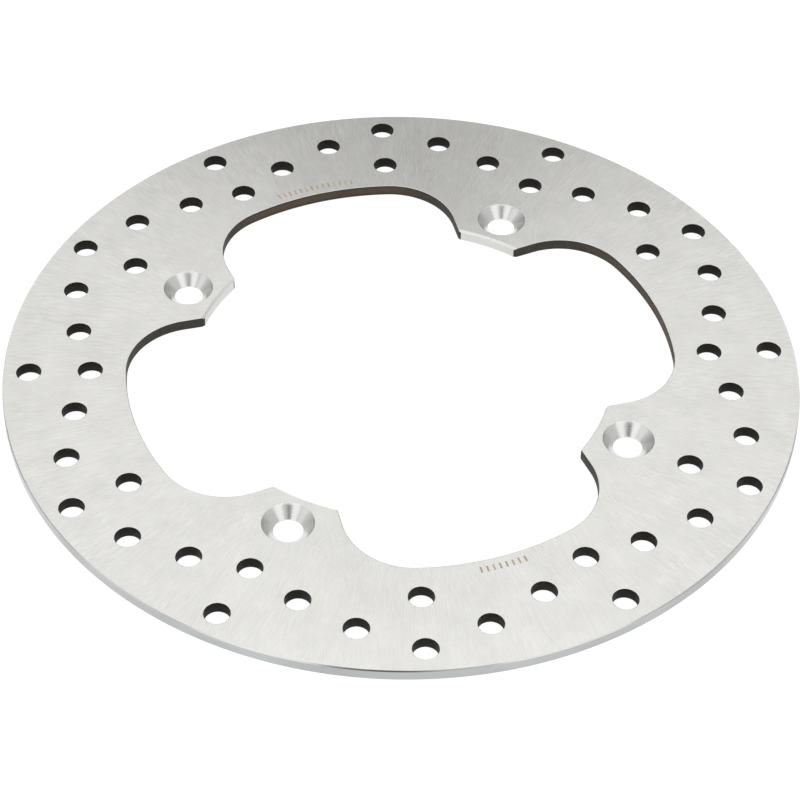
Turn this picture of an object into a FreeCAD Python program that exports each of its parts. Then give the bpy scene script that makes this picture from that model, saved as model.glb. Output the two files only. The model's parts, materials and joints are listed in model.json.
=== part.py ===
"""Fixed motorcycle brake disc: one ground steel plate with four countersunk mounting ears.

Frame: millimetres. The origin is on the disc axis, on the hub-side face. +Z runs along the
axis and out of the outer face, where the bolt heads sit. The ears lie on +X, +Y, -X and -Y.
"""
import FreeCAD, Part
import math
import os
import Sketcher

NODE = "brake_disc"

SIZES = {
    "outer_diameter": 292.0,
    "thickness": 4.5,
    "rim_chamfer": 0.4,
    # Inner outline: ear tips on the pilot circle, rounded corners, straight ear sides, blends
    # and round windows. The tip's half angle reaches to where its sharp corner would be.
    "pilot_radius": 77.4,
    "pilot_chamfer": 0.8,
    "tip_half_angle": 9.0,
    "corner_radius": 2.0,
    "side_angle": 40.0,
    "blend_radius": 25.5,
    "window_radius": 101.1,
    # One countersunk bolt hole in each ear.
    "bolt_circle": 180.0,
    "bolt_hole": 10.5,
    "countersink": 18.5,
    "countersink_angle": 90.0,
    # Drilled holes of the braking band, on four circles.
    "drilled_diameter": 9.0,
    "drill_step": 10.0,
    "drill_start": -0.9,
    "ring_inner": 114.2,
    "ring_second": 121.0,
    "ring_third": 128.8,
    "ring_outer": 136.6,
}

# The window outline fills the quarter between two ears, and the drilling a sixth of the disc.
EARS = 4
DRILL_SECTORS = 6

# The drilled holes of one sector: the circle each lies on, and its step round the axis.
DRILLED_SECTOR = [
    ("ring_inner", 0),
    ("ring_outer", 0),
    ("ring_third", 1),
    ("ring_second", 2),
    ("ring_inner", 3),
    ("ring_outer", 3),
    ("ring_second", 4),
    ("ring_third", 5),
]

# Sketcher's own numbers for a curve's points, and for the sketch's origin and axes.
START, END, CENTRE = 1, 2, 3
ORIGIN = (-1, 1)
X_AXIS, Y_AXIS = -1, -2

VOLUME_TOLERANCE = 0.001


def add_sheet(doc):
    """Put the driving sizes in a spreadsheet, one aliased cell each."""
    sheet = doc.addObject("Spreadsheet::Sheet", "sizes")
    for row, (name, value) in enumerate(SIZES.items(), start=1):
        sheet.set(f"A{row}", name)
        sheet.set(f"B{row}", str(value))
        sheet.setAlias(f"B{row}", name)
    doc.recompute()


def cell(name):
    return f"<<sizes>>.{name}"


def origin_feature(body, role):
    return next(item for item in body.Origin.OriginFeatures if item.Role == role)


# --- sketches ---------------------------------------------------------------------------


def add_sketch(body, name, plane="XY_Plane"):
    """Start a sketch on an origin plane: XY is the hub-side face, seen from the outer side."""
    sketch = body.newObject("Sketcher::SketchObject", name)
    sketch.AttachmentSupport = [(origin_feature(body, plane), "")]
    sketch.MapMode = "FlatFace"
    return sketch


def constrain(sketch, *args):
    return sketch.addConstraint(Sketcher.Constraint(*args))


def bind(sketch, label, expression, *args):
    """Add a dimension and drive it from the sheet."""
    index = constrain(sketch, *args)
    sketch.renameConstraint(index, label)
    sketch.setExpression(f"Constraints.{label}", expression)


def add_circle(sketch, diameter, x, y):
    up = FreeCAD.Vector(0, 0, 1)
    return sketch.addGeometry(Part.Circle(FreeCAD.Vector(x, y, 0), up, diameter / 2), False)


def add_line(sketch, start, end, construction=False):
    return sketch.addGeometry(Part.LineSegment(start, end), construction)


def add_arc(sketch, centre, start, end):
    """Draw the counter-clockwise arc from start to end."""
    circle = Part.Circle(centre, FreeCAD.Vector(0, 0, 1), centre.distanceToPoint(start))
    arc = Part.ArcOfCircle(circle, circle.parameter(start), circle.parameter(end))
    return sketch.addGeometry(arc, False)


def centred_circle(body, name, diameter, expression):
    """Sketch one circle on the disc axis, turned so that its seam lies between two ears."""
    sketch = add_sketch(body, name)
    sketch.AttachmentOffset = FreeCAD.Placement(FreeCAD.Vector(), FreeCAD.Rotation(180 / EARS, 0, 0))
    circle = add_circle(sketch, diameter, 0, 0)
    constrain(sketch, "Coincident", circle, CENTRE, *ORIGIN)
    bind(sketch, "across", expression, "Diameter", circle, diameter)
    return sketch


def walk_out(start, along, radius):
    """Go from start along a straight line to the circle of this radius round the axis."""
    reach = start.dot(along)
    return start + along * (math.sqrt(reach**2 - start.dot(start) + radius**2) - reach)


def window_corners():
    """Work out where the window outline turns, from the ear on +X up to the diagonal.

    In order: the sharp corner, the rounded corner's start, centre and end, the end of the
    straight side, and the blend's centre and end.
    """
    pilot = SIZES["pilot_radius"]
    tip = math.radians(SIZES["tip_half_angle"])
    side = math.radians(SIZES["side_angle"])
    corner = SIZES["corner_radius"]
    blend = SIZES["blend_radius"]
    window = SIZES["window_radius"]
    along = FreeCAD.Vector(math.cos(side), math.sin(side), 0)
    across = FreeCAD.Vector(-along.y, along.x, 0)
    sharp = FreeCAD.Vector(math.cos(tip), math.sin(tip), 0) * pilot
    round_centre = walk_out(sharp - across * corner, along, pilot + corner)
    round_start = round_centre * (pilot / round_centre.Length)
    blend_centre = walk_out(sharp + across * blend, along, window - blend)
    blend_end = blend_centre * (window / blend_centre.Length)
    side_end = blend_centre - across * blend
    return sharp, round_start, round_centre, round_centre + across * corner, side_end, blend_centre, blend_end


def swap_xy(point):
    return FreeCAD.Vector(point.y, point.x, 0)


def window_outline(body):
    """Sketch one window between two ears, closed by two lines through the open bore."""
    sketch = add_sketch(body, "window_outline")
    axis = FreeCAD.Vector(0, 0, 0)
    sharp, round_start, round_centre, round_end, side_end, centre, blend_end = window_corners()
    far_sharp, far_round_start, far_round_centre, far_round_end = map(swap_xy, window_corners()[:4])
    far_side_end, far_centre, far_blend_end = map(swap_xy, window_corners()[4:])

    spoke = add_line(sketch, axis, round_start)
    corner = add_arc(sketch, round_centre, round_end, round_start)
    side = add_line(sketch, round_end, side_end)
    blend = add_arc(sketch, centre, side_end, blend_end)
    window = add_arc(sketch, axis, blend_end, far_blend_end)
    far_blend = add_arc(sketch, far_centre, far_blend_end, far_side_end)
    far_side = add_line(sketch, far_side_end, far_round_end)
    far_corner = add_arc(sketch, far_round_centre, far_round_start, far_round_end)
    far_spoke = add_line(sketch, far_round_start, axis)
    tip = add_line(sketch, axis, sharp, construction=True)
    far_tip = add_line(sketch, axis, far_sharp, construction=True)

    constrain(sketch, "Coincident", spoke, START, *ORIGIN)
    constrain(sketch, "Coincident", far_spoke, END, *ORIGIN)
    constrain(sketch, "Coincident", window, CENTRE, *ORIGIN)
    constrain(sketch, "Coincident", tip, START, *ORIGIN)
    constrain(sketch, "Coincident", far_tip, START, *ORIGIN)
    constrain(sketch, "Coincident", spoke, END, corner, END)
    constrain(sketch, "Coincident", far_corner, START, far_spoke, START)
    constrain(sketch, "PointOnObject", corner, CENTRE, spoke)
    constrain(sketch, "PointOnObject", far_corner, CENTRE, far_spoke)
    constrain(sketch, "PointOnObject", tip, END, side)
    constrain(sketch, "PointOnObject", far_tip, END, far_side)
    constrain(sketch, "Tangent", corner, START, side, START)
    constrain(sketch, "Tangent", far_side, END, far_corner, END)
    smooth = [side, blend, window, far_blend, far_side]
    for before, after in zip(smooth, smooth[1:]):
        constrain(sketch, "Tangent", before, END, after, START)
    for other in (far_spoke, tip, far_tip):
        constrain(sketch, "Equal", spoke, other)
    constrain(sketch, "Equal", corner, far_corner)
    constrain(sketch, "Equal", blend, far_blend)

    tip_angle = math.radians(SIZES["tip_half_angle"])
    side_angle = math.radians(SIZES["side_angle"])
    degrees = " * 1 deg"
    bind(sketch, "pilot", cell("pilot_radius"), "Distance", spoke, SIZES["pilot_radius"])
    bind(sketch, "window", cell("window_radius"), "Radius", window, SIZES["window_radius"])
    bind(sketch, "blend", cell("blend_radius"), "Radius", blend, SIZES["blend_radius"])
    bind(sketch, "corner", cell("corner_radius"), "Radius", corner, SIZES["corner_radius"])
    bind(sketch, "tip", cell("tip_half_angle") + degrees, "Angle", X_AXIS, 1, tip, START, tip_angle)
    bind(sketch, "far_tip", cell("tip_half_angle") + degrees, "Angle", far_tip, START, Y_AXIS, 1, tip_angle)
    bind(sketch, "side", cell("side_angle") + degrees, "Angle", X_AXIS, 1, side, START, side_angle)
    bind(sketch, "far_side", cell("side_angle") + degrees, "Angle", far_side, END, Y_AXIS, 1, side_angle)
    return sketch


def pilot_chamfer_outline(body):
    """Sketch the chamfer tool beside the axis: a right triangle that overhangs the edge."""
    sketch = add_sketch(body, "pilot_chamfer_outline", "XZ_Plane")
    turn = FreeCAD.Rotation(FreeCAD.Vector(0, 1, 0), 180 / EARS)
    sketch.AttachmentOffset = FreeCAD.Placement(FreeCAD.Vector(), turn)
    size = SIZES["pilot_chamfer"]
    inner = SIZES["pilot_radius"] - size
    top = SIZES["thickness"] + size
    foot = FreeCAD.Vector(inner, top - 3 * size, 0)
    heel = FreeCAD.Vector(inner, top, 0)
    toe = FreeCAD.Vector(inner + 3 * size, top, 0)

    upright = add_line(sketch, foot, heel)
    level = add_line(sketch, heel, toe)
    slope = add_line(sketch, toe, foot)
    constrain(sketch, "Coincident", upright, END, level, START)
    constrain(sketch, "Coincident", level, END, slope, START)
    constrain(sketch, "Coincident", slope, END, upright, START)
    constrain(sketch, "Vertical", upright)
    constrain(sketch, "Horizontal", level)
    constrain(sketch, "Equal", upright, level)
    chamfer = cell("pilot_chamfer")
    inner_rule = f"{cell('pilot_radius')} - {chamfer}"
    bind(sketch, "inner", inner_rule, "DistanceX", *ORIGIN, upright, END, inner)
    bind(sketch, "top", f"{cell('thickness')} + {chamfer}", "DistanceY", *ORIGIN, upright, END, top)
    bind(sketch, "leg", f"3 * {chamfer}", "Distance", level, 3 * size)
    return sketch


def drilled_outline(body):
    """Sketch the drilled holes of one sector."""
    sketch = add_sketch(body, "drilled_outline")
    first = None
    for number, (ring, step) in enumerate(DRILLED_SECTOR):
        angle = math.radians(SIZES["drill_start"] + step * SIZES["drill_step"])
        x = SIZES[ring] * math.cos(angle)
        y = SIZES[ring] * math.sin(angle)
        turn = f"(({cell('drill_start')} + {step} * {cell('drill_step')}) * 1 deg)"
        circle = add_circle(sketch, SIZES["drilled_diameter"], x, y)
        bind(sketch, f"x_{number}", f"{cell(ring)} * cos{turn}", "DistanceX", *ORIGIN, circle, CENTRE, x)
        bind(sketch, f"y_{number}", f"{cell(ring)} * sin{turn}", "DistanceY", *ORIGIN, circle, CENTRE, y)
        if first is None:
            first = circle
            bind(sketch, "across", cell("drilled_diameter"), "Diameter", circle, SIZES["drilled_diameter"])
        else:
            constrain(sketch, "Equal", first, circle)
    return sketch


def bolt_outline(body):
    """Sketch the bolt hole of the ear on +X, on the outer face."""
    sketch = add_sketch(body, "bolt_outline")
    sketch.setExpression("AttachmentOffset.Base.z", cell("thickness"))
    radius = SIZES["bolt_circle"] / 2
    circle = add_circle(sketch, SIZES["bolt_hole"], radius, 0)
    constrain(sketch, "PointOnObject", circle, CENTRE, X_AXIS)
    bind(sketch, "circle_radius", cell("bolt_circle") + " / 2", "DistanceX", *ORIGIN, circle, CENTRE, radius)
    bind(sketch, "across", cell("bolt_hole"), "Diameter", circle, SIZES["bolt_hole"])
    return sketch


# --- features ---------------------------------------------------------------------------


def finish_feature(body, feature):
    body.Tip = feature
    body.Document.recompute()
    return feature


def add_pad(body, name, sketch):
    pad = body.newObject("PartDesign::Pad", name)
    pad.Profile = sketch
    pad.setExpression("Length", cell("thickness"))
    return finish_feature(body, pad)


def add_pocket(body, name, sketch):
    """Cut from the hub-side face up through the whole plate."""
    pocket = body.newObject("PartDesign::Pocket", name)
    pocket.Profile = sketch
    pocket.Type = "ThroughAll"
    pocket.Reversed = True
    return finish_feature(body, pocket)


def add_pattern(body, name, feature, count):
    """Repeat a feature evenly round the disc axis."""
    pattern = body.newObject("PartDesign::PolarPattern", name)
    pattern.Originals = [feature]
    pattern.Axis = (origin_feature(body, "Z_Axis"), [""])
    pattern.Angle = 360
    pattern.Occurrences = count
    return finish_feature(body, pattern)


def add_bolt_hole(body):
    sketch = bolt_outline(body)
    hole = body.newObject("PartDesign::Hole", "bolt_hole")
    hole.Profile = sketch
    body.Document.recompute()
    hole.DepthType = "ThroughAll"
    hole.HoleCutType = "Countersink"
    hole.HoleCutCustomValues = True
    hole.setExpression("Diameter", cell("bolt_hole"))
    hole.setExpression("HoleCutDiameter", cell("countersink"))
    hole.setExpression("HoleCutCountersinkAngle", cell("countersink_angle"))
    return finish_feature(body, hole)


def add_groove(body, name, sketch):
    """Turn a sketch round the disc axis and cut away what it sweeps."""
    groove = body.newObject("PartDesign::Groove", name)
    groove.Profile = sketch
    groove.ReferenceAxis = (origin_feature(body, "Z_Axis"), [""])
    groove.Angle = 360
    return finish_feature(body, groove)


def circular_edges(shape, radius, heights):
    """Name the edges on the axis that have this radius and lie at one of these heights."""
    names = []
    for number, edge in enumerate(shape.Edges, start=1):
        curve = edge.Curve
        if not isinstance(curve, Part.Circle) or abs(curve.Radius - radius) > 0.001:
            continue
        if math.hypot(curve.Center.x, curve.Center.y) > 0.001:
            continue
        if min(abs(curve.Center.z - height) for height in heights) < 0.001:
            names.append(f"Edge{number}")
    return names


def add_chamfer(body, name, radius, heights, size):
    base = body.Tip
    chamfer = body.newObject("PartDesign::Chamfer", name)
    chamfer.Base = (base, circular_edges(base.Shape, radius, heights))
    chamfer.setExpression("Size", cell(size))
    return finish_feature(body, chamfer)


# --- checks -----------------------------------------------------------------------------


def profile_area(sketch):
    return sum(Part.Face(wire).Area for wire in sketch.Shape.Wires)


def countersunk_hole_volume():
    """Volume of one bolt hole: its cone, and the short straight land under it."""
    wide = SIZES["countersink"] / 2
    narrow = SIZES["bolt_hole"] / 2
    depth = (wide - narrow) / math.tan(math.radians(SIZES["countersink_angle"] / 2))
    cone = math.pi * depth / 3 * (wide**2 + wide * narrow + narrow**2)
    return cone + math.pi * narrow**2 * (SIZES["thickness"] - depth)


def check_cut(feature, before, expected):
    """Stop if a cut has not taken away the volume that it should."""
    removed = before.Shape.Volume - feature.Shape.Volume
    if abs(removed - expected) > VOLUME_TOLERANCE * expected:
        raise RuntimeError(f"{feature.Name} removed {removed:.1f} mm3, not {expected:.1f} mm3")


def check_removes(feature, before):
    """Stop if a cut has taken nothing away."""
    if feature.Shape.Volume > before.Shape.Volume - VOLUME_TOLERANCE:
        raise RuntimeError(f"{feature.Name} removed nothing")


def check_document(doc, body):
    """Stop if any object failed, or if the body is not one valid solid."""
    for item in doc.Objects:
        if "Invalid" in item.State or "Error" in item.State:
            raise RuntimeError(f"{item.Name} failed: {item.State}")
    if body.Shape.isNull() or not body.Shape.isValid() or len(body.Shape.Solids) != 1:
        raise RuntimeError(f"{body.Label} is not one valid solid")


# --- the disc ---------------------------------------------------------------------------


def build_disc(doc):
    body = doc.addObject("PartDesign::Body", NODE)
    body.Label = NODE
    body.Placement = FreeCAD.Placement()
    thickness = SIZES["thickness"]

    outer_diameter = SIZES["outer_diameter"]
    plate_sketch = centred_circle(body, "plate_outline", outer_diameter, cell("outer_diameter"))
    plate = add_pad(body, "plate", plate_sketch)

    pilot_diameter = 2 * SIZES["pilot_radius"]
    pilot_sketch = centred_circle(body, "pilot_outline", pilot_diameter, f"2 * {cell('pilot_radius')}")
    pilot = add_pocket(body, "pilot_bore", pilot_sketch)
    check_cut(pilot, plate, profile_area(pilot_sketch) * thickness)

    window_sketch = window_outline(body)
    window = add_pocket(body, "window", window_sketch)
    windows = add_pattern(body, "windows", window, EARS)
    round_start = window_corners()[1]
    open_share = 1 / EARS - 2 * math.atan2(round_start.y, round_start.x) / (2 * math.pi)
    window_area = profile_area(window_sketch) - open_share * profile_area(pilot_sketch)
    check_cut(windows, pilot, EARS * window_area * thickness)

    drilled_sketch = drilled_outline(body)
    sector = add_pocket(body, "drilled_sector", drilled_sketch)
    drilled = add_pattern(body, "drilled_holes", sector, DRILL_SECTORS)
    check_cut(drilled, windows, DRILL_SECTORS * profile_area(drilled_sketch) * thickness)

    bolt_hole = add_bolt_hole(body)
    bolt_holes = add_pattern(body, "bolt_holes", bolt_hole, EARS)
    check_cut(bolt_holes, drilled, EARS * countersunk_hole_volume())

    rim_break = add_chamfer(body, "rim_break", outer_diameter / 2, (0, thickness), "rim_chamfer")
    pilot_break = add_groove(body, "pilot_break", pilot_chamfer_outline(body))
    check_removes(pilot_break, rim_break)
    return body


def main():
    doc = FreeCAD.newDocument("brake_disc_rotor")
    add_sheet(doc)
    body = build_disc(doc)
    doc.recompute()
    check_document(doc, body)
    os.makedirs("parts", exist_ok=True)
    body.Shape.exportStep(f"parts/{NODE}.step")
    box = body.Shape.BoundBox
    extents = f"{box.XLength:.2f} x {box.YLength:.2f} x {box.ZLength:.2f} mm"
    print(f"{NODE}: {body.Shape.Volume:.1f} mm3, {extents}")


main()
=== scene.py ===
import json
import math

import bmesh
import bpy
from mathutils import Matrix, Quaternion, Vector
from mathutils.geometry import delaunay_2d_cdt


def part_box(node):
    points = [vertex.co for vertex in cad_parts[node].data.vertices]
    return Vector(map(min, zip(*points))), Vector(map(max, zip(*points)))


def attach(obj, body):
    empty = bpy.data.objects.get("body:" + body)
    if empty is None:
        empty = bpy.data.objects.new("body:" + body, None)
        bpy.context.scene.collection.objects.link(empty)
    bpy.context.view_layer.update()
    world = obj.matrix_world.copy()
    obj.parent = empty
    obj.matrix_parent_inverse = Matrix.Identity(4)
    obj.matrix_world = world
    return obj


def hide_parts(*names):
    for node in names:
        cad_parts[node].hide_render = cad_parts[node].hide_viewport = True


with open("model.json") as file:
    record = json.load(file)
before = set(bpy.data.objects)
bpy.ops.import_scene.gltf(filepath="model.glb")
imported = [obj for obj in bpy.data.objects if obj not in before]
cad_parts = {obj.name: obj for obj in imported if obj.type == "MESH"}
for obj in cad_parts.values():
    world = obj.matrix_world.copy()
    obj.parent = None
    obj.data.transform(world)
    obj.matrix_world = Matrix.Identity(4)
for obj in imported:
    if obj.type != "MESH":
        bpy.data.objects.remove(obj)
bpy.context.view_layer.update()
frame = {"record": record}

# --- sizes, in millimetres --------------------------------------------------------------

MM = 0.001
NODE = "brake_disc"
BODY = "root"


def disc_sizes():
    """Read the rim radius and the thickness off the CAD disc's box."""
    low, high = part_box(NODE)
    rim = min(-low[0], high[0], -low[1], high[1])
    return rim / MM, high[2] / MM


def bolt_sizes():
    """Read the bolt circle and hole radii off the record's bolt pattern."""
    pattern = next(m for m in frame["record"]["mounts"] if m["kind"] == "bolt_pattern")
    return pattern["dims"]["pcd_mm"] / 2, pattern["dims"]["hole_r_mm"]


RIM_RADIUS, THICKNESS = disc_sizes()
BOLT_CIRCLE_RADIUS, BOLT_HOLE_RADIUS = bolt_sizes()
RIM_CHAMFER = 0.4
COUNTERSINK_RADIUS = 9.25

# The centre: ears with chamfered pilot arcs on their tips, and windows between the ears.
EARS = 4
PILOT_RADIUS = 77.4
PILOT_CHAMFER = 0.8
TIP_HALF_ANGLE = math.radians(9.0)
CORNER_RADIUS = 2.0
SIDE_ANGLE = math.radians(40.0)
BLEND_RADIUS = 25.5
WINDOW_RADIUS = 101.1

# The drilling: one sector's holes, each by its ring and its step round the disc.
DRILLED_RADIUS = 4.5
DRILL_SECTORS = 6
DRILL_STEP = math.radians(10.0)
DRILL_START = math.radians(-0.9)
RINGS = {"inner": 114.2, "second": 121.0, "third": 128.8, "outer": 136.6}
DRILLED_SECTOR = [
    ("inner", 0),
    ("outer", 0),
    ("third", 1),
    ("second", 2),
    ("inner", 3),
    ("outer", 3),
    ("second", 4),
    ("third", 5),
]

# Etched service marks, stood in for by rows of plain bars: middle angle and bar count.
ETCHED_ROWS = [(math.radians(135.0), 14), (math.radians(-45.0), 8)]
ETCHED_RADIUS = 105.2
ETCHED_PITCH = 2.3
ETCHED_WIDTH = 0.7
ETCHED_LENGTH = 2.6
ETCHED_DEPTH = 0.05

# Radii of the broken edges, and how finely the mesh is cut.
HOLE_BREAK = 0.12
CUT_BREAK = 0.25
BREAK_STEPS = 4
WALL_ROWS = 3
CONE_ROWS = 6
OUTLINE_STEP = 0.8
CORNER_STEP = 0.25
FACE_STEP = 2.5
FACE_CLEARANCE = 0.6 * FACE_STEP
DRILLED_SEGMENTS = 72
BOLT_SEGMENTS = 120
RIM_SEGMENTS = 1080
SAME_POINT = 1e-6
FILL_TOLERANCE = 1e-5
FLAT_NORMAL = 0.999999
SHARP_TURN = math.radians(40)

# Material slots of the disc's mesh. The drilled holes' slot gets dark scale made darker still, as
# painted shade inside the holes.
GROUND, CUT, SHADED_BORE, TURNED, EDGED, BEVELLED, PILOT, RIM, ETCHED = range(9)


# --- mesh -------------------------------------------------------------------------------


class Plate:
    """A closed plate, made of wall strips between loops and of two filled flat faces."""

    def __init__(self):
        self.mesh = bmesh.new()
        self.top_loops = []
        self.bottom_loops = []

    def loop(self, points):
        """Add a closed loop of vertices. Equal neighbours share one vertex."""
        made = []
        for point in points:
            if made and (made[-1].co - Vector(point)).length < SAME_POINT:
                made.append(made[-1])
            else:
                made.append(self.mesh.verts.new(point))
        return made

    def strip(self, lower, upper, slots):
        """Join two loops by faces, each in the material slot given for its place."""
        count = len(lower)
        for i in range(count):
            k = (i + 1) % count
            corners = []
            for vertex in (lower[i], lower[k], upper[k], upper[i]):
                if vertex not in corners:
                    corners.append(vertex)
            if len(corners) > 2:
                self.face(corners, slots[i])

    def face(self, corners, slot):
        face = self.mesh.faces.new(corners)
        face.material_index = slot
        face.smooth = True

    def wall(self, levels, slots):
        """Join a stack of loops, the first on the top face and the last on the bottom one."""
        loops = [self.loop(points) for points in levels]
        for upper, lower, row in zip(loops, loops[1:], slots):
            self.strip(lower, upper, row)
        self.top_loops.append(loops[0])
        self.bottom_loops.append(loops[-1])

    def fill(self, loops, height, upward):
        """Fill the flat face inside the first loop, leaving out what the others enclose."""
        vertices = []
        outlines = []
        for loop in loops:
            unique = list(dict.fromkeys(loop))
            outline = list(range(len(vertices), len(vertices) + len(unique)))
            outlines.append(outline[::-1] if outlines else outline)
            vertices.extend(unique)
        flat = [vertex.co.xy for vertex in vertices] + face_points(vertices)
        vertices.extend([None] * (len(flat) - len(vertices)))
        _, _, triangles, origins, _, inside = delaunay_2d_cdt(flat, [], outlines, 1, FILL_TOLERANCE)
        for triangle, regions in zip(triangles, inside):
            if list(regions) != [0]:
                continue
            corners = []
            for index in triangle:
                source = origins[index][0]
                if vertices[source] is None:
                    vertices[source] = self.mesh.verts.new((*flat[source], height))
                corners.append(vertices[source])
            self.face(corners if upward else corners[::-1], GROUND)


def face_points(vertices):
    """Even points on the flat face, in staggered rings, clear of the outlines' vertices."""
    near = {}
    for vertex in vertices:
        near.setdefault(grid_cell(vertex.co), []).append(vertex.co.xy)
    points = []
    rings = int((RIM_RADIUS - PILOT_RADIUS) / FACE_STEP)
    for ring in range(1, rings):
        radius = PILOT_RADIUS + ring * FACE_STEP
        count = round(2 * math.pi * radius / FACE_STEP)
        for k in range(count):
            point = polar(radius, 2 * math.pi * (k + ring % 2 / 2) / count)
            if is_clear(point, near):
                points.append(point)
    return points


def grid_cell(point):
    return int(point.x // FACE_CLEARANCE), int(point.y // FACE_CLEARANCE)


def is_clear(point, near):
    """Whether no outline vertex is closer to the point than the clearance."""
    column, row = grid_cell(point)
    for i in (-1, 0, 1):
        for k in (-1, 0, 1):
            for other in near.get((column + i, row + k), ()):
                if (other - point).length < FACE_CLEARANCE:
                    return False
    return True


def polar(radius, angle):
    return Vector((radius * math.cos(angle), radius * math.sin(angle)))


def arc(centre, radius, start, end):
    """Points along an arc, both ends included."""
    count = max(2, math.ceil(abs(end - start) * radius / OUTLINE_STEP))
    return [centre + polar(radius, start + (end - start) * k / count) for k in range(count + 1)]


def circle(centre, radius, height, segments):
    points = []
    for k in range(segments):
        spot = centre + polar(radius, 2 * math.pi * k / segments)
        points.append((spot.x, spot.y, height))
    return points


def break_profile(radius):
    """(distance back from the edge, depth) down a rounded edge break, from the flat face."""
    profile = []
    for k in range(BREAK_STEPS + 1):
        turn = math.pi / 2 * k / BREAK_STEPS
        profile.append((radius * (1 - math.sin(turn)), radius * (1 - math.cos(turn))))
    return profile


def straight_profile(radius):
    """(distance back, height) down a straight wall with a rounded break at each end."""
    top = [(back, THICKNESS - depth) for back, depth in break_profile(radius)]
    middle = [(0.0, THICKNESS * (1 - row / WALL_ROWS)) for row in range(1, WALL_ROWS)]
    bottom = [(back, depth) for back, depth in reversed(break_profile(radius))]
    return top + middle + bottom


# The levels down the cut outline. The grinding has cleaned the upper half of its top break.
CUT_LEVELS = straight_profile(CUT_BREAK)
LEVEL_ROWS = len(CUT_LEVELS) - 1
CUT_SLOTS = [GROUND] * (BREAK_STEPS // 2) + [CUT] * (LEVEL_ROWS - BREAK_STEPS // 2)


def add_round_hole(plate, centre, radius, profile, segments, slot):
    """Cut a round hole, whose profile gives how far each level lies outside the radius."""
    levels = [circle(centre, radius + back, height, segments)[::-1] for back, height in profile]
    plate.wall(levels, [[slot] * segments] * (len(profile) - 1))


def add_drilled_holes(plate):
    profile = straight_profile(HOLE_BREAK)
    for sector in range(DRILL_SECTORS):
        for ring, step in DRILLED_SECTOR:
            angle = DRILL_START + DRILL_STEP * step + 2 * math.pi * sector / DRILL_SECTORS
            centre = polar(RINGS[ring], angle)
            # The drilled holes' walls take the darkest scale: partly the scale's own colour, partly
            # painted shade for the inside of the holes.
            add_round_hole(plate, centre, DRILLED_RADIUS, profile, DRILLED_SEGMENTS, SHADED_BORE)


def countersink_profile():
    """(distance outside the bolt hole, height): edge, cone, straight land, bottom break."""
    sink = COUNTERSINK_RADIUS - BOLT_HOLE_RADIUS
    ease = HOLE_BREAK / 2
    cone = [(sink + ease, THICKNESS), (sink - ease, THICKNESS - ease)]
    for row in range(1, CONE_ROWS):
        share = row / CONE_ROWS
        cone.append(((sink - ease) * (1 - share), THICKNESS - ease - (sink - ease) * share))
    land = [(0.0, THICKNESS - sink)]
    bottom = [(back, depth) for back, depth in reversed(break_profile(HOLE_BREAK))]
    return cone + land + bottom


def add_bolt_holes(plate):
    profile = countersink_profile()
    for ear in range(EARS):
        centre = polar(BOLT_CIRCLE_RADIUS, 2 * math.pi * ear / EARS)
        add_round_hole(plate, centre, BOLT_HOLE_RADIUS, profile, BOLT_SEGMENTS, TURNED)


def add_rim(plate):
    """Add the outer wall, with a straight chamfer at each face."""
    wall = THICKNESS - 2 * RIM_CHAMFER
    profile = [(RIM_CHAMFER, THICKNESS), (0.0, THICKNESS - RIM_CHAMFER)]
    for row in range(1, WALL_ROWS):
        profile.append((0.0, THICKNESS - RIM_CHAMFER - wall * row / WALL_ROWS))
    profile += [(0.0, RIM_CHAMFER), (RIM_CHAMFER, 0.0)]
    axis = Vector((0.0, 0.0))
    levels = [circle(axis, RIM_RADIUS - back, height, RIM_SEGMENTS) for back, height in profile]
    slots = [EDGED] + [RIM] * WALL_ROWS + [EDGED]
    plate.wall(levels, [[slot] * RIM_SEGMENTS for slot in slots])


def side_line_hit(offset, radius):
    """Where the ear's side line, moved back by offset, crosses a circle round the axis."""
    along = polar(1, SIDE_ANGLE)
    across = Vector((-along.y, along.x))
    start = polar(PILOT_RADIUS, TIP_HALF_ANGLE) - across * offset
    reach = start.dot(along)
    return start + along * (math.sqrt(reach**2 - start.dot(start) + radius**2) - reach)


def chamfered_levels(crest, foot, foot_height, way):
    """Levels down a chamfer from crest to foot, and down the wall under it."""
    points = []
    for number, (back, height) in enumerate(CUT_LEVELS):
        share = number / BREAK_STEPS
        if share <= 1:
            spot = crest.lerp(foot, share)
            points.append((*spot, THICKNESS + (foot_height - THICKNESS) * share))
        else:
            points.append((*(foot + way * back), height))
    return points


def chamfered_slots(wall):
    return [BEVELLED] * BREAK_STEPS + [wall] * (LEVEL_ROWS - BREAK_STEPS)


def broken_station(spot, way):
    """A wall with broken edges, at a spot where the plate lies the given way."""
    return [(*(spot + way * back), height) for back, height in CUT_LEVELS], CUT_SLOTS


def tip_stations(corner):
    """Half an ear tip, from its middle to the start of its rounded corner."""
    end = math.atan2(corner.y, corner.x)
    count = math.ceil(PILOT_RADIUS * end / OUTLINE_STEP)
    stations = []
    for k in range(count + 1):
        out = polar(1, end * k / count)
        foot = out * PILOT_RADIUS
        crest = out * (PILOT_RADIUS + PILOT_CHAMFER)
        points = chamfered_levels(crest, foot, THICKNESS - PILOT_CHAMFER, out)
        stations.append((points, chamfered_slots(PILOT)))
    return stations


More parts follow.
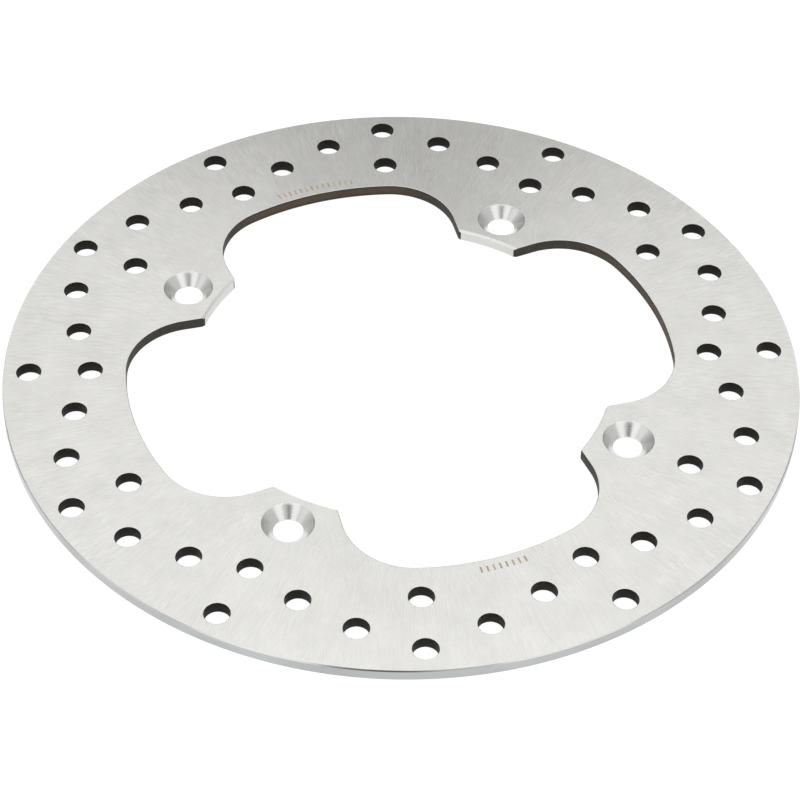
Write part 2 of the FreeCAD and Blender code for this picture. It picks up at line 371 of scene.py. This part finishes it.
def corner_stations(corner):
    """An ear's rounded corner: the pilot chamfer runs out on it, and the edge break starts."""
    inward = math.atan2(corner.y, corner.x) + math.pi
    turn = inward - (SIDE_ANGLE + math.pi / 2)
    crest_radius = PILOT_RADIUS + PILOT_CHAMFER
    inner = CORNER_RADIUS - CUT_BREAK
    reach = corner.length
    run_out = math.acos((reach**2 + inner**2 - crest_radius**2) / (2 * reach * inner))
    last = corner + polar(inner, inward - run_out)
    first_angle = inward - math.pi
    last_angle = math.atan2(last.y, last.x)
    stations = []
    count = math.ceil(CORNER_RADIUS * run_out / CORNER_STEP)
    for k in range(1, count + 1):
        way = polar(1, inward - run_out * k / count)
        foot = corner + way * CORNER_RADIUS
        crest = polar(crest_radius, first_angle + (last_angle - first_angle) * k / count)
        height = THICKNESS - PILOT_CHAMFER + foot.length - PILOT_RADIUS
        slots = chamfered_slots(CUT) if k < count else CUT_SLOTS
        stations.append((chamfered_levels(crest, foot, height, -way), slots))
    count = math.ceil(CORNER_RADIUS * (turn - run_out) / CORNER_STEP)
    for k in range(1, count):
        way = polar(1, inward - run_out - (turn - run_out) * k / count)
        stations.append(broken_station(corner + way * CORNER_RADIUS, -way))
    return stations


def side_stations(corner):
    """An ear's straight side, the blend, and the window up to its middle."""
    along = polar(1, SIDE_ANGLE)
    across = Vector((-along.y, along.x))
    centre = side_line_hit(-BLEND_RADIUS, WINDOW_RADIUS - BLEND_RADIUS)
    side_start = corner + across * CORNER_RADIUS
    side_end = centre - across * BLEND_RADIUS
    end = math.atan2(centre.y, centre.x)
    stations = []
    count = math.ceil((side_end - side_start).length / OUTLINE_STEP)
    for k in range(count):
        stations.append(broken_station(side_start.lerp(side_end, k / count), -across))
    for spot in arc(centre, BLEND_RADIUS, SIDE_ANGLE - math.pi / 2, end)[:-1]:
        stations.append(broken_station(spot, (spot - centre).normalized()))
    for spot in arc(Vector((0.0, 0.0)), WINDOW_RADIUS, end, math.pi / EARS):
        stations.append(broken_station(spot, spot.normalized()))
    return stations


def add_inner_outline(plate):
    """Cut the centre out of half ears, each turned into place and mirrored.

    Each station holds the levels down the edge at one place, and the slots after it.
    """
    corner = side_line_hit(CORNER_RADIUS, PILOT_RADIUS + CORNER_RADIUS)
    half = tip_stations(corner) + corner_stations(corner) + side_stations(corner)
    mirrored = half[::-1]
    around = []
    for ear in range(EARS):
        turn = Matrix.Rotation(2 * math.pi * ear / EARS, 3, "Z")
        around += [([turn @ Vector(p) for p in points], slots) for points, slots in half]
        turn = Matrix.Rotation(2 * math.pi * (ear + 1) / EARS, 3, "Z")
        for (points, _), (_, slots) in zip(mirrored[1:-1], mirrored[2:]):
            around.append(([turn @ Vector((x, -y, z)) for x, y, z in points], slots))
    around.reverse()
    levels = list(zip(*(points for points, _ in around)))
    slots = list(zip(*(slots for _, slots in around[1:] + around[:1])))
    plate.wall(levels, slots)


def add_etched_marks(plate):
    """Sink rows of small plain bars into the outer face."""
    tall, wide = ETCHED_LENGTH / 2, ETCHED_WIDTH / 2
    outline = [(-tall, wide), (tall, wide), (tall, -wide), (-tall, -wide)]
    for middle, count in ETCHED_ROWS:
        for k in range(count):
            angle = middle + (k - (count - 1) / 2) * ETCHED_PITCH / ETCHED_RADIUS
            turn = Matrix.Rotation(angle, 2)
            centre = polar(ETCHED_RADIUS, angle)
            spots = [centre + turn @ Vector(corner) for corner in outline]
            upper = plate.loop((spot.x, spot.y, THICKNESS) for spot in spots)
            lower = plate.loop((spot.x, spot.y, THICKNESS - ETCHED_DEPTH) for spot in spots)
            plate.strip(lower, upper, [ETCHED] * len(spots))
            plate.face(lower[::-1], ETCHED)
            plate.top_loops.append(upper)


def build_plate():
    plate = Plate()
    add_rim(plate)
    add_inner_outline(plate)
    add_drilled_holes(plate)
    add_bolt_holes(plate)
    add_etched_marks(plate)
    plate.fill(plate.top_loops, THICKNESS, True)
    plate.fill(plate.bottom_loops, 0.0, False)
    return plate.mesh


def mark_sharp_edges(mesh):
    """Keep the shading flat on the flat faces, and crisp over sharp turns."""
    for edge in mesh.edges:
        flat = [abs(face.normal.z) > FLAT_NORMAL for face in edge.link_faces]
        turned = edge.calc_face_angle(0.0) > SHARP_TURN
        edge.smooth = not turned and (all(flat) or not any(flat))


def make_piece(name, mesh, materials):
    """Turn a mesh in millimetres into an object in metres."""
    mesh.normal_update()
    mark_sharp_edges(mesh)
    data = bpy.data.meshes.new(name)
    mesh.to_mesh(data)
    mesh.free()
    data.transform(Matrix.Scale(MM, 4))
    for material in materials:
        data.materials.append(material)
    piece = bpy.data.objects.new(name, data)
    bpy.context.scene.collection.objects.link(piece)
    return piece


# --- shader nodes -----------------------------------------------------------------------


class Graph:
    """Short calls for building the nodes of a material or a world."""

    def __init__(self, owner):
        owner.use_nodes = True
        self.nodes = owner.node_tree.nodes
        self.links = owner.node_tree.links

    def put(self, socket, value):
        """Link another node's output into a socket, or set the socket's own value."""
        if isinstance(value, bpy.types.NodeSocket):
            self.links.new(value, socket)
        else:
            socket.default_value = value

    def node(self, kind, inputs, output=0, **settings):
        """Add a node and give back one of its outputs."""
        made = self.nodes.new(kind)
        for key, value in settings.items():
            setattr(made, key, value)
        for key, value in inputs.items():
            self.put(made.inputs[key], value)
        return made.outputs[output]

    def math(self, operation, *values):
        return self.node("ShaderNodeMath", dict(enumerate(values)), operation=operation)

    def join(self, x, y, z):
        return self.node("ShaderNodeCombineXYZ", {0: x, 1: y, 2: z})

    def square(self, x, y):
        """The square of the distance x, y."""
        return self.math("ADD", self.math("MULTIPLY", x, x), self.math("MULTIPLY", y, y))

    def mean(self, first, second):
        return self.math("MULTIPLY_ADD", first, 0.5, self.math("MULTIPLY", second, 0.5))

    def noise(self, vector, scale, detail=2.0, roughness=0.5):
        inputs = {"Vector": vector, "Scale": scale, "Detail": detail, "Roughness": roughness}
        return self.node("ShaderNodeTexNoise", inputs)

    def spread(self, value, low, high, start, end, interpolation="LINEAR"):
        """Map value from low..high to start..end, clamped."""
        inputs = {0: value, 1: low, 2: high, 3: start, 4: end}
        return self.node("ShaderNodeMapRange", inputs, interpolation_type=interpolation)

    def blend(self, share, first, second):
        """Mix two colours."""
        inputs = {0: share, 6: first, 7: second}
        return self.node("ShaderNodeMix", inputs, output=2, data_type="RGBA")

    def bump(self, height, strength, distance):
        inputs = {"Strength": strength, "Distance": distance * MM, "Height": height}
        return self.node("ShaderNodeBump", inputs)


class Finish(Graph):
    """A new material's nodes, round its Principled shader."""

    def __init__(self, name):
        self.material = bpy.data.materials.new(name)
        super().__init__(self.material)
        self.shader = self.nodes["Principled BSDF"]

    def place(self):
        """The place on the disc, in millimetres: the point, and its x, y and z."""
        raw = self.node("ShaderNodeTexCoord", {}, output="Object")
        point = self.node("ShaderNodeVectorMath", {0: raw, "Scale": 1 / MM}, operation="SCALE")
        parts = self.nodes.new("ShaderNodeSeparateXYZ")
        self.links.new(point, parts.inputs[0])
        return point, *parts.outputs

    def done(self, **sockets):
        """Set the shader's sockets, named with _ for each space."""
        for key, value in sockets.items():
            self.put(self.shader.inputs[key.replace("_", " ")], value)
        return self.material


# --- materials --------------------------------------------------------------------------

# The parts of a noise's range that are drawn out over a whole change.
MIDDLE = (0.35, 0.65)
WIDE_MIDDLE = (0.3, 0.7)

# A cup wheel's arcs: the wheel's radius, and its centre's distance from the disc axis.
GRIND_WHEEL_RADIUS = 85.0
GRIND_WHEEL_CENTRE = 150.0
# Grinding strokes, from fine to coarse: width and length in millimetres, and strength.
STROKES = [(0.26, 4.0, 0.4), (0.5, 7.0, 0.35), (1.0, 13.0, 0.25)]
STROKE_REACH = 120.0
STROKE_ROUGHNESS = 0.6
STROKE_TONE_SPAN = (0.42, 0.58)
STROKE_SHARE = 0.6
STROKE_GLOSS_SPAN = (0.4, 0.6)
GROUND_ROUGHNESS = (0.36, 0.42)
STROKE_PATCH_SCALE = 0.06
STROKE_PATCH_STRENGTH = (0.45, 1.3)
SCRATCH_WIDTH = 0.45
SCRATCH_LENGTH = 38.0
SCRATCH_SPAN = (0.74, 0.82)
SCRATCH_SHARE = -0.16
SCRATCH_HEIGHT = -0.1
# How far the noise of one family of arcs lies from the other's, and the scratches' from both.
FAMILY_SHIFT = 17.0
SCRATCH_SHIFT = 5.0
CLOUD_SCALE = 0.09
CLOUD_SHARE = 0.22
GRAIN_SCALE = 1.6
GRAIN_SHARE = 0.18

# The cut walls' striations, stains and brown heat tint.
STRIATION_SCALE = 3.5
STRIATION_STRETCH = 0.12
STAIN_SCALE = 0.35
STAIN_ROUGHNESS = (0.5, 0.75)
TINT_SCALE = 0.03
TINT_NOISE = 1.2
TINT_SPAN = (1.2, 1.6)
TINT_STRENGTH = 0.9
TINT_MIDDLE = 0.55 * THICKNESS
TINT_BELT = (0.15 * THICKNESS, 0.42 * THICKNESS)

# Machined lines, per millimetre across them and along them, and slow changes of tone.
CONE_LINES = 6.0
CONE_ROUGHNESS = (0.2, 0.3)
MACHINED_LINES = 5.0
MACHINED_DRIFT = 0.05
MACHINED_TONE_SCALE = 0.025
MACHINED_ROUGHNESS_SWING = 0.05


def stroke_noise(tree, wheel, radius, width, length, shift, detail):
    """Noise drawn out along one family of grinding arcs."""
    across = []
    for operation in ("COSINE", "SINE"):
        across.append(tree.math("MULTIPLY", tree.math(operation, wheel), STROKE_REACH / width))
    along = tree.math("MULTIPLY_ADD", radius, 1 / length, shift)
    return tree.noise(tree.join(*across, along), 1.0, detail=detail, roughness=STROKE_ROUGHNESS)


def grinding_strokes(tree, point, x, y):
    """Two crossing families of grinding arcs, as a cup wheel leaves them on a turning disc.

    Gives back the strokes, about 0.5 in the middle, and the few long scratches, from 0 up.
    """
    square = tree.square(x, y)
    radius = tree.math("SQRT", square)
    angle = tree.math("ARCTAN2", y, x)
    top = tree.math("ADD", square, GRIND_WHEEL_CENTRE**2 - GRIND_WHEEL_RADIUS**2)
    bottom = tree.math("MULTIPLY", radius, 2 * GRIND_WHEEL_CENTRE)
    lean = tree.math("ARCCOSINE", tree.math("DIVIDE", top, bottom))
    strokes = 0.0
    scratches = 0.0
    for number, operation in enumerate(("ADD", "SUBTRACT")):
        wheel = tree.math(operation, angle, lean)
        shift = FAMILY_SHIFT * number
        for width, length, strength in STROKES:
            layer = stroke_noise(tree, wheel, radius, width, length, shift, 2.0)
            strokes = tree.math("MULTIPLY_ADD", layer, strength / 2, strokes)
        shift += SCRATCH_SHIFT
        layer = stroke_noise(tree, wheel, radius, SCRATCH_WIDTH, SCRATCH_LENGTH, shift, 0.0)
        scratches = tree.math("ADD", scratches, tree.spread(layer, *SCRATCH_SPAN, 0.0, 1.0))
    patches = tree.noise(point, STROKE_PATCH_SCALE, detail=3.0)
    patches = tree.spread(patches, *MIDDLE, *STROKE_PATCH_STRENGTH)
    strokes = tree.math("MULTIPLY_ADD", tree.math("SUBTRACT", strokes, 0.5), patches, 0.5)
    return strokes, scratches


def ground_steel():
    """Ground faces: light steel with fine crossing strokes that fan in towards the ears."""
    tree = Finish("ground_steel")
    point, x, y, _ = tree.place()
    strokes, scratches = grinding_strokes(tree, point, x, y)
    cloud = tree.noise(point, CLOUD_SCALE, detail=4.0, roughness=0.6)
    grain = tree.noise(point, GRAIN_SCALE)
    share = tree.spread(strokes, *STROKE_TONE_SPAN, 0.0, STROKE_SHARE)
    share = tree.math("ADD", share, tree.spread(cloud, *MIDDLE, 0.0, CLOUD_SHARE))
    share = tree.math("ADD", share, tree.spread(grain, *WIDE_MIDDLE, 0.0, GRAIN_SHARE))
    share = tree.math("MULTIPLY_ADD", scratches, SCRATCH_SHARE, share)
    height = tree.math("MULTIPLY_ADD", scratches, SCRATCH_HEIGHT, strokes)
    return tree.done(
        Base_Color=tree.blend(share, (0.635, 0.63, 0.606, 1), (0.855, 0.85, 0.82, 1)),
        Metallic=1.0,
        Roughness=tree.spread(strokes, *STROKE_GLOSS_SPAN, *GROUND_ROUGHNESS),
        Anisotropic=0.8,
        Tangent=tree.node("ShaderNodeTangent", {}, direction_type="RADIAL", axis="Z"),
        Normal=tree.bump(height, strength=0.4, distance=0.012),
    )


def scaled_steel(name, dark, light, tint=None):
    """Cut walls, bores and etched marks: scale with fine upright striations.

    A tint browns the middle of the wall's height, mostly near the middle of each window.
    """
    tree = Finish(name)
    point, x, y, z = tree.place()
    upright = tree.join(x, y, tree.math("MULTIPLY", z, STRIATION_STRETCH))
    lines = tree.noise(upright, STRIATION_SCALE, detail=3.0)
    stain = tree.noise(point, STAIN_SCALE, detail=3.0)
    colour = tree.blend(tree.spread(tree.mean(lines, stain), *MIDDLE, 0.0, 1.0), dark, light)
    if tint:
        product = tree.math("MULTIPLY", x, tree.math("MULTIPLY", y, 2 / WINDOW_RADIUS**2))
        middle = tree.math("ABSOLUTE", product)
        mixed = tree.math("MULTIPLY_ADD", tree.noise(point, TINT_SCALE), TINT_NOISE, middle)
        patches = tree.spread(mixed, *TINT_SPAN, 0.0, TINT_STRENGTH)
        away = tree.math("ABSOLUTE", tree.math("SUBTRACT", z, TINT_MIDDLE))
        belt = tree.spread(away, *TINT_BELT, 1.0, 0.0)
        colour = tree.blend(tree.math("MULTIPLY", patches, belt), colour, tint)
    return tree.done(
        Base_Color=colour,
        Roughness=tree.spread(stain, *WIDE_MIDDLE, *STAIN_ROUGHNESS),
        Specular_IOR_Level=0.2,
        Normal=tree.bump(lines, strength=0.5, distance=0.03),
    )


def from_bolt_axis(tree, x, y):
    """The distance from the nearest bolt axis, along x and along y."""
    on_x = tree.math("GREATER_THAN", tree.math("ABSOLUTE", x), tree.math("ABSOLUTE", y))
    on_y = tree.math("SUBTRACT", 1.0, on_x)
    distances = []
    for value, here in ((x, on_x), (y, on_y)):
        centre = tree.math("MULTIPLY", tree.math("SIGN", value), BOLT_CIRCLE_RADIUS)
        distances.append(tree.math("SUBTRACT", value, tree.math("MULTIPLY", centre, here)))
    return distances


def turned_steel():
    """Countersinks: bright cutter-turned cones with fine rings round each bolt axis."""
    tree = Finish("turned_steel")
    _, x, y, z = tree.place()
    dx, dy = from_bolt_axis(tree, x, y)
    around = tree.join(tree.math("MULTIPLY", dy, -1.0), dx, 0.0)
    out = tree.math("MULTIPLY", tree.math("SQRT", tree.square(dx, dy)), CONE_LINES)
    rings = tree.noise(tree.join(out, tree.math("MULTIPLY", z, CONE_LINES), 0.0), 1.0, detail=3.0)
    return tree.done(
        Base_Color=tree.blend(rings, (0.66, 0.66, 0.645, 1), (0.84, 0.84, 0.825, 1)),
        Metallic=1.0,
        Roughness=tree.spread(rings, *WIDE_MIDDLE, *CONE_ROUGHNESS),
        Anisotropic=0.6,
        Anisotropic_Rotation=0.25,
        Tangent=tree.node("ShaderNodeVectorMath", {0: around}, operation="NORMALIZE"),
        Normal=tree.bump(rings, strength=0.2, distance=0.03),
    )


def machined_steel(name, dark, light, roughness):
    """Rim, chamfers and pilot arcs: fine lines round the disc, over slow changes of tone."""
    tree = Finish(name)
    point, x, y, z = tree.place()
    flat = [tree.math("MULTIPLY", value, MACHINED_DRIFT) for value in (x, y)]
    upright = tree.math("MULTIPLY", z, MACHINED_LINES)
    lines = tree.noise(tree.join(*flat, upright), 1.0, detail=3.0)
    slow = tree.spread(tree.noise(point, MACHINED_TONE_SCALE), *MIDDLE, 0.0, 1.0)
    glossy, dull = roughness - MACHINED_ROUGHNESS_SWING, roughness + MACHINED_ROUGHNESS_SWING
    return tree.done(
        Base_Color=tree.blend(tree.mean(lines, slow), dark, light),
        Metallic=1.0,
        Roughness=tree.spread(lines, *WIDE_MIDDLE, glossy, dull),
        Normal=tree.bump(lines, strength=0.15, distance=0.02),
    )


def disc_materials():
    """The disc's materials, in the order of its slots."""
    heat_tint = (0.085, 0.060, 0.038, 1)
    return [
        ground_steel(),
        scaled_steel("cut_steel", (0.024, 0.022, 0.017, 1), (0.060, 0.053, 0.041, 1), heat_tint),
        # The drilled holes' walls: the same scale as the cut walls, darkened further as painted
        # shade inside the holes.
        scaled_steel("bored_steel_painted_shade", (0.006, 0.0055, 0.0035, 1), (0.016, 0.014, 0.008, 1)),
        turned_steel(),
        machined_steel("edged_steel", (0.56, 0.56, 0.54, 1), (0.76, 0.76, 0.74, 1), 0.16),
        machined_steel("bevelled_steel", (0.80, 0.80, 0.78, 1), (0.94, 0.94, 0.92, 1), 0.5),
        machined_steel("pilot_steel", (0.54, 0.54, 0.52, 1), (0.72, 0.72, 0.70, 1), 0.3),
        machined_steel("rim_steel", (0.378, 0.392, 0.393, 1), (0.54, 0.556, 0.555, 1), 0.26),
        scaled_steel("etched_steel", (0.36, 0.30, 0.19, 1), (0.62, 0.54, 0.37, 1)),
    ]


# --- stage, in metres -------------------------------------------------------------------

CAMERA_AZIMUTH = math.radians(-65.0)
CAMERA_ELEVATION = math.radians(44.65)
CAMERA_DISTANCE = 0.865
CAMERA_ROLL = math.radians(1.14)
CAMERA_LENS = 107.4
CAMERA_AIM = Vector((0.0083, -0.0186, 0.0045))
BEHIND = CAMERA_AZIMUTH + math.pi

# Two soft panels, each turned by its angle round the disc from the camera's side.
PANELS = {"front_right": math.radians(44), "front_left": math.radians(-35)}
PANEL_ELEVATION = math.radians(44)
PANEL_DISTANCE = 1.6
PANEL_WIDTH = 0.8
PANEL_HEIGHT = 1.1
PANEL_RADIANCE = 0.5

# The light tent. A span is where a patch starts and where it is full, as cosines or sines.
TENT_CROWN_ELEVATION = math.radians(75)
TENT_CROWN_SPAN = (0.74, 0.90)
TENT_GLOW = (0.36, 1.06)
TENT_FRONT_SPAN = (-0.7, -0.1)
TENT_FRONT_GLOW = 0.32
TENT_BAND_HEIGHT = math.sin(math.radians(52))
TENT_BAND_SPAN = (0.03, 0.13)
TENT_BAND_BEHIND_SPAN = (0.2, 0.6)
TENT_BAND_GLOW = 0.6
TENT_LEFT_AT = (math.radians(217.0), math.radians(34.0))
TENT_LEFT_SPAN = (math.cos(math.radians(19)), math.cos(math.radians(9)))
TENT_LEFT_GLOW = 0.3
CAMERA_SHADE_AT = (math.radians(-70.0), math.radians(40.5))
CAMERA_SHADE_SPAN = (math.cos(math.radians(14)), math.cos(math.radians(6)))
CAMERA_SHADE = 0.2

FLOOR_HALF_SIZE = 4.0
FLOOR_COLOUR = (0.2, 0.2, 0.2, 1)
FLOOR_GLOW = 0.92
WHITE = (1, 1, 1, 1)


def direction(azimuth, elevation):
    level = math.cos(elevation)
    return Vector((level * math.cos(azimuth), level * math.sin(azimuth), math.sin(elevation)))


def add_camera():
    data = bpy.data.cameras.new("camera")
    data.lens = CAMERA_LENS
    camera = bpy.data.objects.new("camera", data)
    back = direction(CAMERA_AZIMUTH, CAMERA_ELEVATION)
    camera.location = CAMERA_AIM + back * CAMERA_DISTANCE
    camera.rotation_mode = "QUATERNION"
    level = (-back).to_track_quat("-Z", "Y")
    camera.rotation_quaternion = level @ Quaternion((0, 0, 1), CAMERA_ROLL)
    bpy.context.scene.collection.objects.link(camera)
    bpy.context.scene.camera = camera


def add_panels():
    """Hang the soft panels, facing the disc, with an even brightness."""
    for name, turn in PANELS.items():
        data = bpy.data.lights.new(name, "AREA")
        data.shape = "RECTANGLE"
        data.size = PANEL_WIDTH
        data.size_y = PANEL_HEIGHT
        data.energy = PANEL_RADIANCE * math.pi * PANEL_WIDTH * PANEL_HEIGHT
        lamp = bpy.data.objects.new(name, data)
        away = direction(CAMERA_AZIMUTH + turn, PANEL_ELEVATION)
        lamp.location = away * PANEL_DISTANCE
        lamp.rotation_mode = "QUATERNION"
        lamp.rotation_quaternion = (-away).to_track_quat("-Z", "Y")
        bpy.context.scene.collection.objects.link(lamp)


def add_tent():
    """A light tent: bright overhead, with a band behind, a patch on the left and a dim back.

    It is dark where the camera stands.
    """
    world = bpy.data.worlds.new("world")
    bpy.context.scene.world = world
    graph = Graph(world)
    coordinates = graph.node("ShaderNodeTexCoord", {}, output="Generated")

    def share(axis):
        """How far each direction agrees with the axis, from -1 to 1."""
        inputs = {0: coordinates, 1: axis}
        return graph.node("ShaderNodeVectorMath", inputs, output="Value", operation="DOT_PRODUCT")

    def step(value, span, start, end):
        return graph.spread(value, *span, start, end, interpolation="SMOOTHSTEP")

    crown = step(share(direction(BEHIND, TENT_CROWN_ELEVATION)), TENT_CROWN_SPAN, *TENT_GLOW)
    front = step(share(direction(CAMERA_AZIMUTH, 0.0)), TENT_FRONT_SPAN, 0.0, TENT_FRONT_GLOW)
    height = graph.math("SUBTRACT", share((0.0, 0.0, 1.0)), TENT_BAND_HEIGHT)
    level = step(graph.math("ABSOLUTE", height), TENT_BAND_SPAN, 1.0, 0.0)
    behind = step(share(direction(BEHIND, 0.0)), TENT_BAND_BEHIND_SPAN, 0.0, TENT_BAND_GLOW)
    band = graph.math("MULTIPLY", level, behind)
    left = step(share(direction(*TENT_LEFT_AT)), TENT_LEFT_SPAN, 0.0, TENT_LEFT_GLOW)
    shade = step(share(direction(*CAMERA_SHADE_AT)), CAMERA_SHADE_SPAN, 1.0, CAMERA_SHADE)
    total = graph.math("ADD", graph.math("ADD", crown, front), graph.math("ADD", band, left))
    background = graph.nodes["Background"]
    graph.put(background.inputs["Color"], WHITE)
    graph.put(background.inputs["Strength"], graph.math("MULTIPLY", total, shade))


def add_floor():
    """A pale, faintly lit table, as for product shots on white."""
    half = FLOOR_HALF_SIZE
    corners = [(-half, -half, 0), (half, -half, 0), (half, half, 0), (-half, half, 0)]
    data = bpy.data.meshes.new("floor")
    data.from_pydata(corners, [], [(0, 1, 2, 3)])
    white = Finish("floor_white").done(
        Base_Color=FLOOR_COLOUR,
        Roughness=1.0,
        Specular_IOR_Level=0.0,
        Emission_Color=WHITE,
        Emission_Strength=FLOOR_GLOW,
    )
    data.materials.append(white)
    floor = bpy.data.objects.new("floor", data)
    bpy.context.scene.collection.objects.link(floor)


# --- scene ------------------------------------------------------------------------------

bpy.context.scene.view_settings.view_transform = "Standard"
add_camera()
add_panels()
add_tent()
add_floor()
disc = make_piece("disc_plate", build_plate(), disc_materials())
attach(disc, BODY)
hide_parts(NODE)
